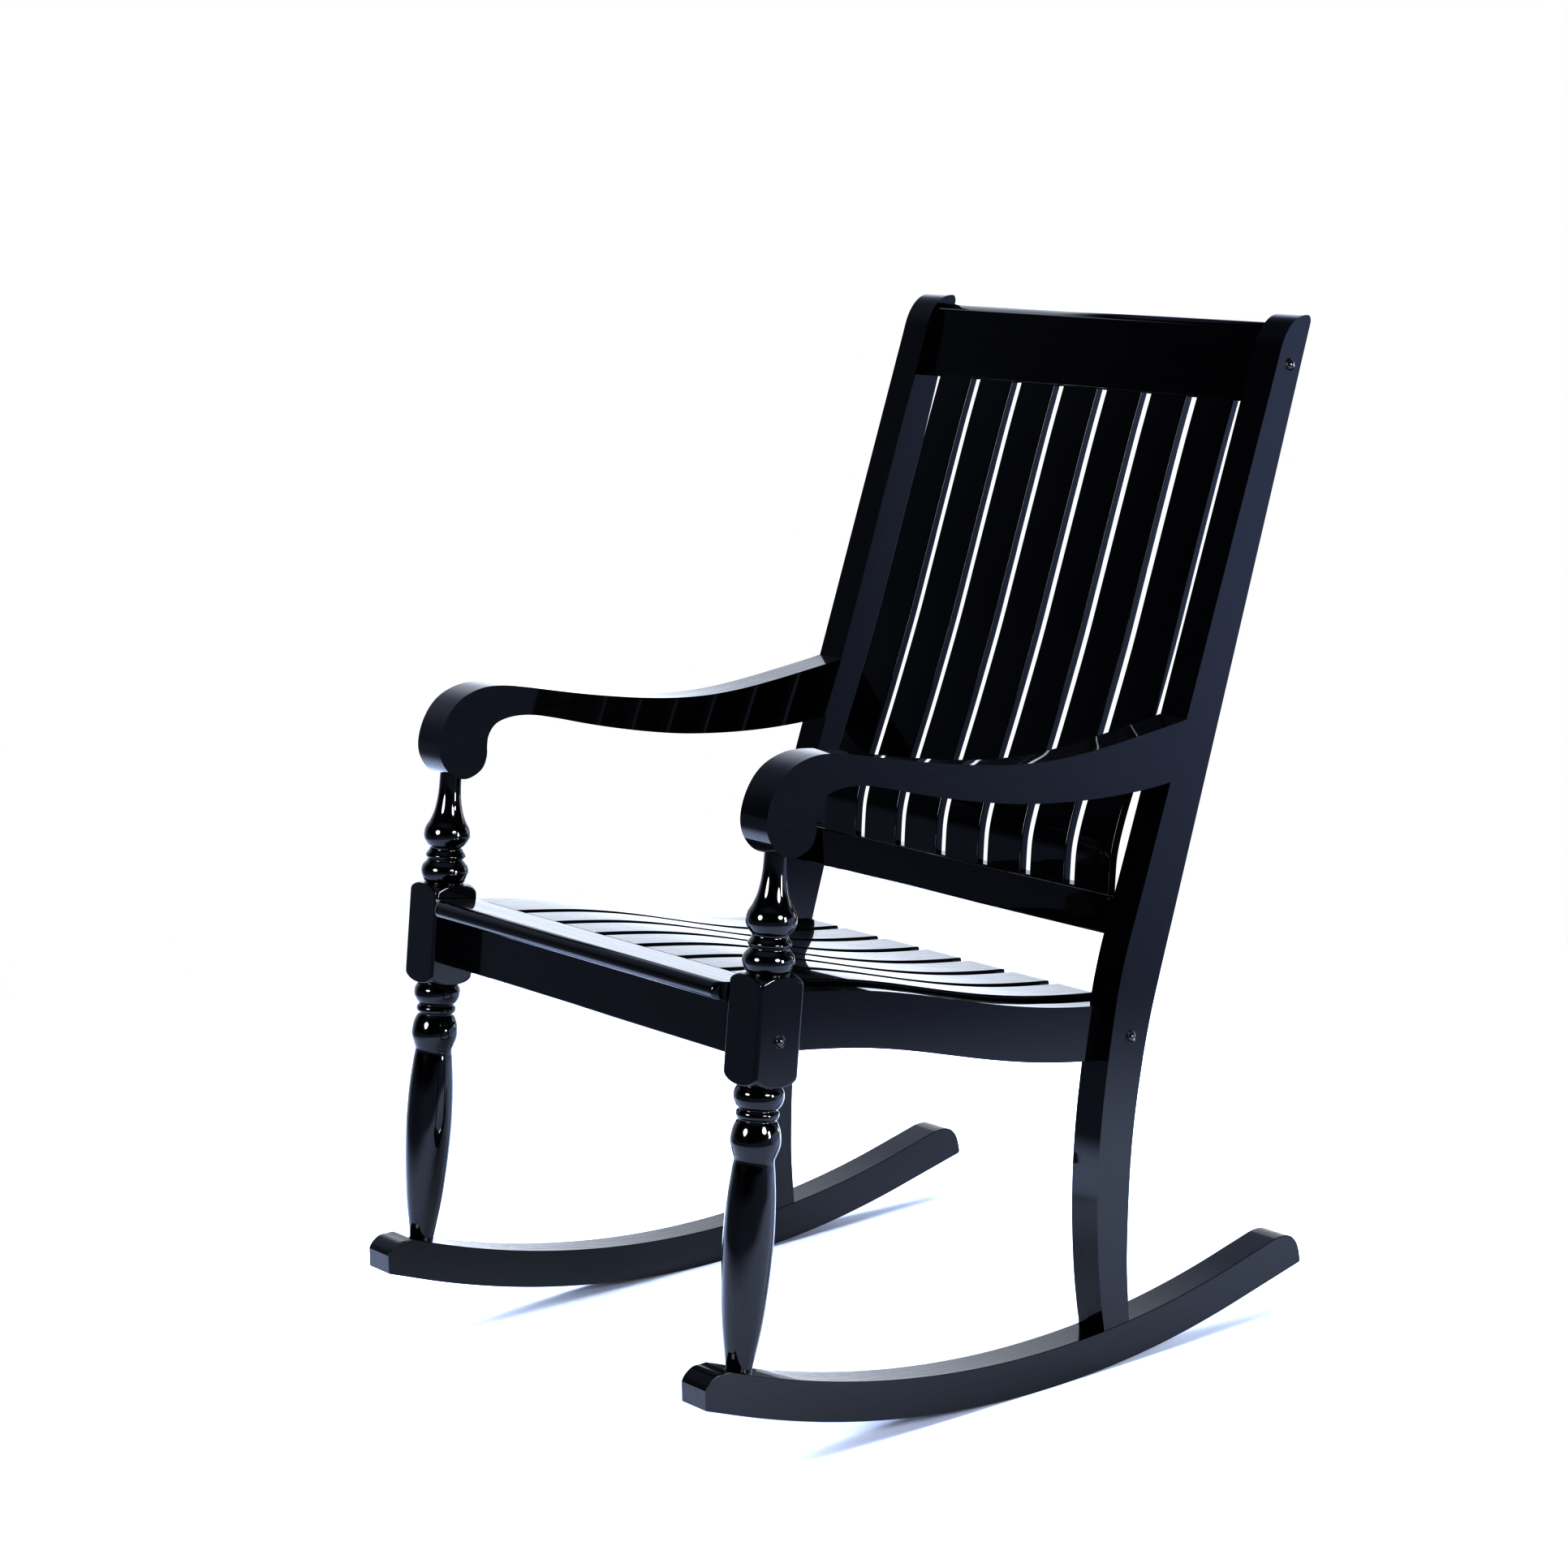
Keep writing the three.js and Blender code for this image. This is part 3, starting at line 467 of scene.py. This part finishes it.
def rail_outline():
    back_y = lambda z: leg_y(z) + BLOCK / 2 * math.hypot(1, LEG_SLOPE) + NEAR
    between = lambda y, z: back_y(z) + 0.6 < y < post_front_y(z) - 0.8
    top, under = [], []
    for y in np.linspace(-300, 140, 90):
        z = seat_z(y) - RAIL_DROP
        if between(y, z):
            top.append((y, z))
        z -= RAIL_DEPTH
        if between(y, z):
            under.append((y, z))
    f1, f0 = under[0][1], top[0][1]
    r1, r0 = under[-1][1], top[-1][1]
    rear = [(post_front_y(z) - NEAR, z) for z in np.linspace(r1 + 0.02, r0 - 0.02, 8)]
    return [(back_y(f1), f1)] + under + rear + top[::-1] + [(back_y(f0), f0)]


# Easing is only slight where a piece meets its neighbour.
def post_rim(y, z):
    return 0.12 if z < runner_top(y) + 1.5 else 1.0


def arm_rim(y, z):
    return 0.15 if y > post_front_y(z) - 2 else 1.0


def rail_rim(y, z):
    return 0.1 if y > post_front_y(z) - 1 or y < -262 else 1.0


def seat_slat_rim(y, z):
    return 0.2 if y < SEAT_FRONT_Y + 0.5 else 1.0


SIDE_PLANKS = [("rocker", runner_outline(), SIDE_X, STOCK, LACQUER_Y, None),
    ("rear_post", post_outline(), SIDE_X, STOCK, LACQUER_Z, post_rim),
    ("arm", arm_outline(), SIDE_X, ARM_W, LACQUER_Y, arm_rim),
    ("side_rail", rail_outline(), RAIL_X, RAIL_T, LACQUER_Y, rail_rim)]
for hand, side in (("left", 1), ("right", -1)):
    for stem, outline, x, width, material, rim in SIDE_PLANKS:
        plank(f"{stem}_{hand}", outline, side * x - width / 2, side * x + width / 2, material,
            ARRIS[stem], rim)
    turned_leg(f"front_leg_{hand}", side, LACQUER_Z)
    for stem, y, z, face in BOLTS:
        bolt(f"{stem}_{hand}", side, y, z, face, METAL)


# ------------------------------------------------------------------ seat
def seat_slat(k):
    x = (k - (SLATS - 1) / 2) * SLAT_PITCH
    ys = np.linspace(SEAT_FRONT_Y + GAP, SEAT_REAR_Y, 64)
    outline = [(y, seat_z(y) - SEAT_SLAT_T) for y in ys] + [(y, seat_z(y)) for y in ys[::-1]]
    plank(f"seat_slat_{k + 1}", outline, x - SEAT_SLAT_W / 2, x + SEAT_SLAT_W / 2, LACQUER_Y,
        ARRIS["seat_slat"], seat_slat_rim)


def front_board():
    """The seat's front board, whose bullnose stops short of the leg blocks in a quarter round."""
    block_front = leg_y(455) - BLOCK / 2 * math.hypot(1, LEG_SLOPE)
    nose, half, end = BLOCK_IN - GAP - NOSE_SETBACK, BLOCK_IN - END_NEAR, 6.0
    corners = [(y, board_top(y) - drop) for y, drop in ((SEAT_FRONT_Y, 0), (SEAT_FRONT_Y, BOARD_T),
        (BOARD_FRONT, BOARD_T), (BOARD_FRONT, 0))]
    section = rounded(corners, [0.8, 0.8, 8.0, 9.4], 9)
    core = [-half, -nose - 0.001]
    core += [-nose + end * (1 - math.cos(a)) for a in np.linspace(0.12, math.pi / 2, 7)]
    rows = []
    for x in core + [-x for x in core[::-1]]:
        d = max(0.0, min(1.0, (abs(x) - (nose - end)) / end))
        keep = 0.0 if abs(x) > nose else math.sqrt(max(0.0, 1 - d * d))
        rows.append((x, [(block_front + (y - block_front) * keep if y < block_front else y, z)
            for y, z in section]))
    sweep_x("seat_front_board", rows, LACQUER_X)


def apron():
    """The apron under it, which leans with the legs and has eased lower edges."""
    front = lambda z: -301.5 + LEG_SLOPE * (z - 410)
    under = lambda y: board_top(y) - BOARD_T - NEAR
    z0, t, half = APRON_LOW, APRON_T, BLOCK_IN - END_NEAR
    section = rounded([(front(z0), z0), (front(z0) + t, z0), (front(433) + t, under(front(433) + t)),
        (front(436), under(front(436)))], [2.2, 2.2, 0, 0], 5)
    sweep_x("front_apron", [(x, section) for x in (-half, half)], LACQUER_X)


for k in range(SLATS):
    seat_slat(k)
front_board()
apron()


# ------------------------------------------------------------------ back
def back_rail(name, rail, radii, steps):
    """A rail between the posts that leans back with its slope."""
    y = lambda z: rail["y"] + rail["slope"] * (z - rail["z"])
    z0, z1, t = rail["z0"], rail["z1"], rail["t"]
    section = rounded([(y(z0), z0), (y(z0) + t, z0), (y(z1) + t, z1), (y(z1), z1)], radii, steps)
    half = POST_IN - END_NEAR
    sweep_x(name, [(x, section) for x in (-half, half)], LACQUER_X)


def back_slat(k):
    x = (k - (SLATS - 1) / 2) * BACK_SLAT_PITCH
    front = [SLAT_FOOT] + smooth(SLAT_FRONT, 80) + [SLAT_HEAD]
    back = []
    for i, (y, z) in enumerate(front):
        (ya, za), (yb, zb) = front[max(0, i - 1)], front[min(len(front) - 1, i + 1)]
        d = math.hypot(yb - ya, zb - za)
        back.append((y + BACK_SLAT_T * (zb - za) / d, z - BACK_SLAT_T * (yb - ya) / d))
    plank(f"back_slat_{k + 1}", front + back[::-1], x - BACK_SLAT_W / 2, x + BACK_SLAT_W / 2,
        LACQUER_Z, ARRIS["back_slat"], corner=NO_CORNERS)


for k in range(SLATS):
    back_slat(k)
back_rail("crest_rail", CREST, [2.2, 2.2, 5.0, 8.0], 9)
back_rail("lower_back_rail", LOWER, [2.4, 2.4, 2.4, 2.4], 6)

# the rear seat rail keeps its CAD shape, with eased arrises
rear = frame["nodes"]["rear_seat_rail"]
rear.data.materials.clear()
rear.data.materials.append(LACQUER_X)
ease = rear.modifiers.new("arris", "BEVEL")
ease.limit_method, ease.angle_limit, ease.width, ease.segments = "ANGLE", math.radians(50), 0.0008, 2

# ------------------------------------------------------------------ studio
FLOOR_RADIUS, FLOOR_FADE = 4.5, (1.0, 1.9)  # metres
# What the lacquer reflects. WALL stands low down beyond the chair as the camera sees it, FRONT
# scales the ground past the sitter's right front, and BACK the ground past their left rear.
WALL, DIM, GROUND, FRONT, BACK, CEILING = 1.6, 0.003, 0.8, 0.62, 3.0, 0.9
GROUND_TINT, WALL_TINT = (0.78, 0.92, 1.40, 1), (0.92, 0.97, 1.06, 1)
TO_WALL, TO_FRONT, TO_BACK = (-0.79, 0.61, 0.0), (-0.79, -0.61, 0.0), (0.5, 0.866, 0.0)
# name, azimuth and elevation seen from AIM, distance, (width, height), watts, shape
AIM = (0, 0, 0.5)
LAMPS = [("key_left", 3, 20, 3.6, (1.3, 1.3), 130, "ELLIPSE"),
    ("key_right", 92, 20, 3.6, (1.3, 1.3), 130, "ELLIPSE"),
    ("edge_strip", 113, 6, 3.6, (0.6, 1.1), 95, "RECTANGLE"),
    ("rim_strip", 183, 4, 4.0, (0.8, 2.0), 60, "RECTANGLE"),
    ("overhead", 250, 80, 4.2, (5.0, 5.0), 740, "RECTANGLE")]
OVERHEAD_TINT = (0.84, 0.92, 1.0)
# Camera in the drawn frame: millimetres and degrees.
CAMERA_AT, CAMERA_AZIMUTH, CAMERA_ELEVATION = (3091.88, -2466.54, 1258.60), 52.1988, 9.7646
LENS, SENSOR = 89.69, 36  # millimetres
GAMMA = 0.6


def floor():
    """A white floor that fades into the white background away from the chair."""
    bpy.ops.mesh.primitive_circle_add(vertices=96, radius=FLOOR_RADIUS, fill_type="NGON",
        location=(0, 0, 0))
    obj = bpy.context.object
    obj.name = "studio_floor"
    mat = bpy.data.materials.new("studio_white")
    mat.use_nodes = True
    t = mat.node_tree
    b = t.nodes["Principled BSDF"]
    b.inputs["Base Color"].default_value = (0.74, 0.80, 0.95, 1)
    b.inputs["Roughness"].default_value = 0.75
    b.inputs["Specular IOR Level"].default_value = 0.1
    where = t.nodes.new("ShaderNodeTexCoord")
    reach = node(t, "ShaderNodeVectorMath", operation="LENGTH")
    t.links.new(where.outputs["Object"], reach.inputs[0])
    t.links.new(fade(t, reach.outputs["Value"], *FLOOR_FADE, 1.0, 0.0), b.inputs["Alpha"])
    obj.data.materials.append(mat)


def softbox(name, azimuth, elevation, distance, size, watts, shape):
    """An area light aimed at the chair."""
    a, e = math.radians(azimuth), math.radians(elevation)
    back = Vector((math.sin(a) * math.cos(e), -math.cos(a) * math.cos(e), math.sin(e)))
    data = bpy.data.lights.new(name, "AREA")
    data.shape, data.size, data.size_y = shape, *size
    data.energy = watts
    lamp = bpy.data.objects.new(name, data)
    lamp.location = Vector(AIM) + back * distance
    lamp.rotation_mode = "QUATERNION"
    lamp.rotation_quaternion = (-back).to_track_quat("-Z", "Y")
    bpy.context.scene.collection.objects.link(lamp)
    return lamp


def world():
    """White for the camera. For reflections: pale ground, duller one way and brighter another, a
    bright wall low down beyond the chair, a dim room above it and a pale ceiling."""
    w = bpy.data.worlds.new("studio")
    w.use_nodes = True
    t = w.node_tree
    t.nodes.clear()
    link = t.links.new
    where = t.nodes.new("ShaderNodeTexCoord").outputs["Generated"]
    split = t.nodes.new("ShaderNodeSeparateXYZ")
    link(where, split.inputs[0])
    height = split.outputs["Z"]

    def towards(direction):
        n = node(t, "ShaderNodeVectorMath", operation="DOT_PRODUCT")
        link(where, n.inputs[0])
        n.inputs[1].default_value = direction
        return n.outputs["Value"]

    def combine(operation, a, b):
        n = node(t, "ShaderNodeMath", operation=operation)
        link(a, n.inputs[0])
        link(b, n.inputs[1])
        return n.outputs[0]

    at_wall = combine("MULTIPLY", fade(t, towards(TO_WALL), 0.15, 0.7), fade(t, height, 0.80, 0.40))
    wall = node(t, "ShaderNodeMath", operation="MULTIPLY_ADD")
    link(at_wall, wall.inputs[0])
    wall.inputs[1].default_value, wall.inputs[2].default_value = WALL, DIM
    ground = combine("MULTIPLY", fade(t, height, 0.10, -0.02, 0.0, GROUND),
        fade(t, towards(TO_FRONT), 0.1, 0.85, 1.0, FRONT))
    ground = combine("MULTIPLY", ground, fade(t, towards(TO_BACK), 0.90, 0.97, 1.0, BACK))
    above = combine("MAXIMUM", wall.outputs[0], fade(t, height, 0.72, 0.97, 0.0, CEILING))
    level = combine("MAXIMUM", above, ground)
    tint = node(t, "ShaderNodeMix", data_type="RGBA")  # its colour sockets are 6, 7 and, out, 2
    link(at_wall, tint.inputs[0])
    tint.inputs[6].default_value, tint.inputs[7].default_value = GROUND_TINT, WALL_TINT
    seen = t.nodes.new("ShaderNodeBackground")
    link(tint.outputs[2], seen.inputs["Color"])
    link(level, seen.inputs["Strength"])
    plain = node(t, "ShaderNodeBackground", Color=(1, 1, 1, 1), Strength=1.0)
    pick = t.nodes.new("ShaderNodeMixShader")
    link(t.nodes.new("ShaderNodeLightPath").outputs["Is Camera Ray"], pick.inputs[0])
    link(seen.outputs[0], pick.inputs[1])
    link(plain.outputs[0], pick.inputs[2])
    link(pick.outputs[0], t.nodes.new("ShaderNodeOutputWorld").inputs[0])
    bpy.context.scene.world = w


def camera():
    data = bpy.data.cameras.new("camera")
    data.lens, data.sensor_width, data.sensor_fit = LENS, SENSOR, "HORIZONTAL"
    data.clip_start, data.clip_end = 0.05, 60
    data.dof.use_dof = False
    cam = bpy.data.objects.new("camera", data)
    az, el = math.radians(CAMERA_AZIMUTH), math.radians(CAMERA_ELEVATION)
    r = Vector((math.cos(az), math.sin(az), 0))
    b = Vector((math.sin(az) * math.cos(el), -math.cos(az) * math.cos(el), math.sin(el)))
    u = b.cross(r)
    m = STAND @ Matrix((*[(r[i], u[i], b[i], CAMERA_AT[i]) for i in range(3)], (0, 0, 0, 1)))
    m.translation = m.translation / MM_PER_M
    cam.matrix_world = m
    bpy.context.scene.collection.objects.link(cam)
    bpy.context.scene.camera = cam


floor()
world()
camera()
lamps = {lamp[0]: softbox(*lamp) for lamp in LAMPS}
lamps["overhead"].data.color = OVERHEAD_TINT
lamps["overhead"].visible_glossy = False
view = bpy.context.scene.view_settings
view.view_transform, view.look, view.gamma = "Standard", "None", GAMMA

bpy.context.view_layer.update()
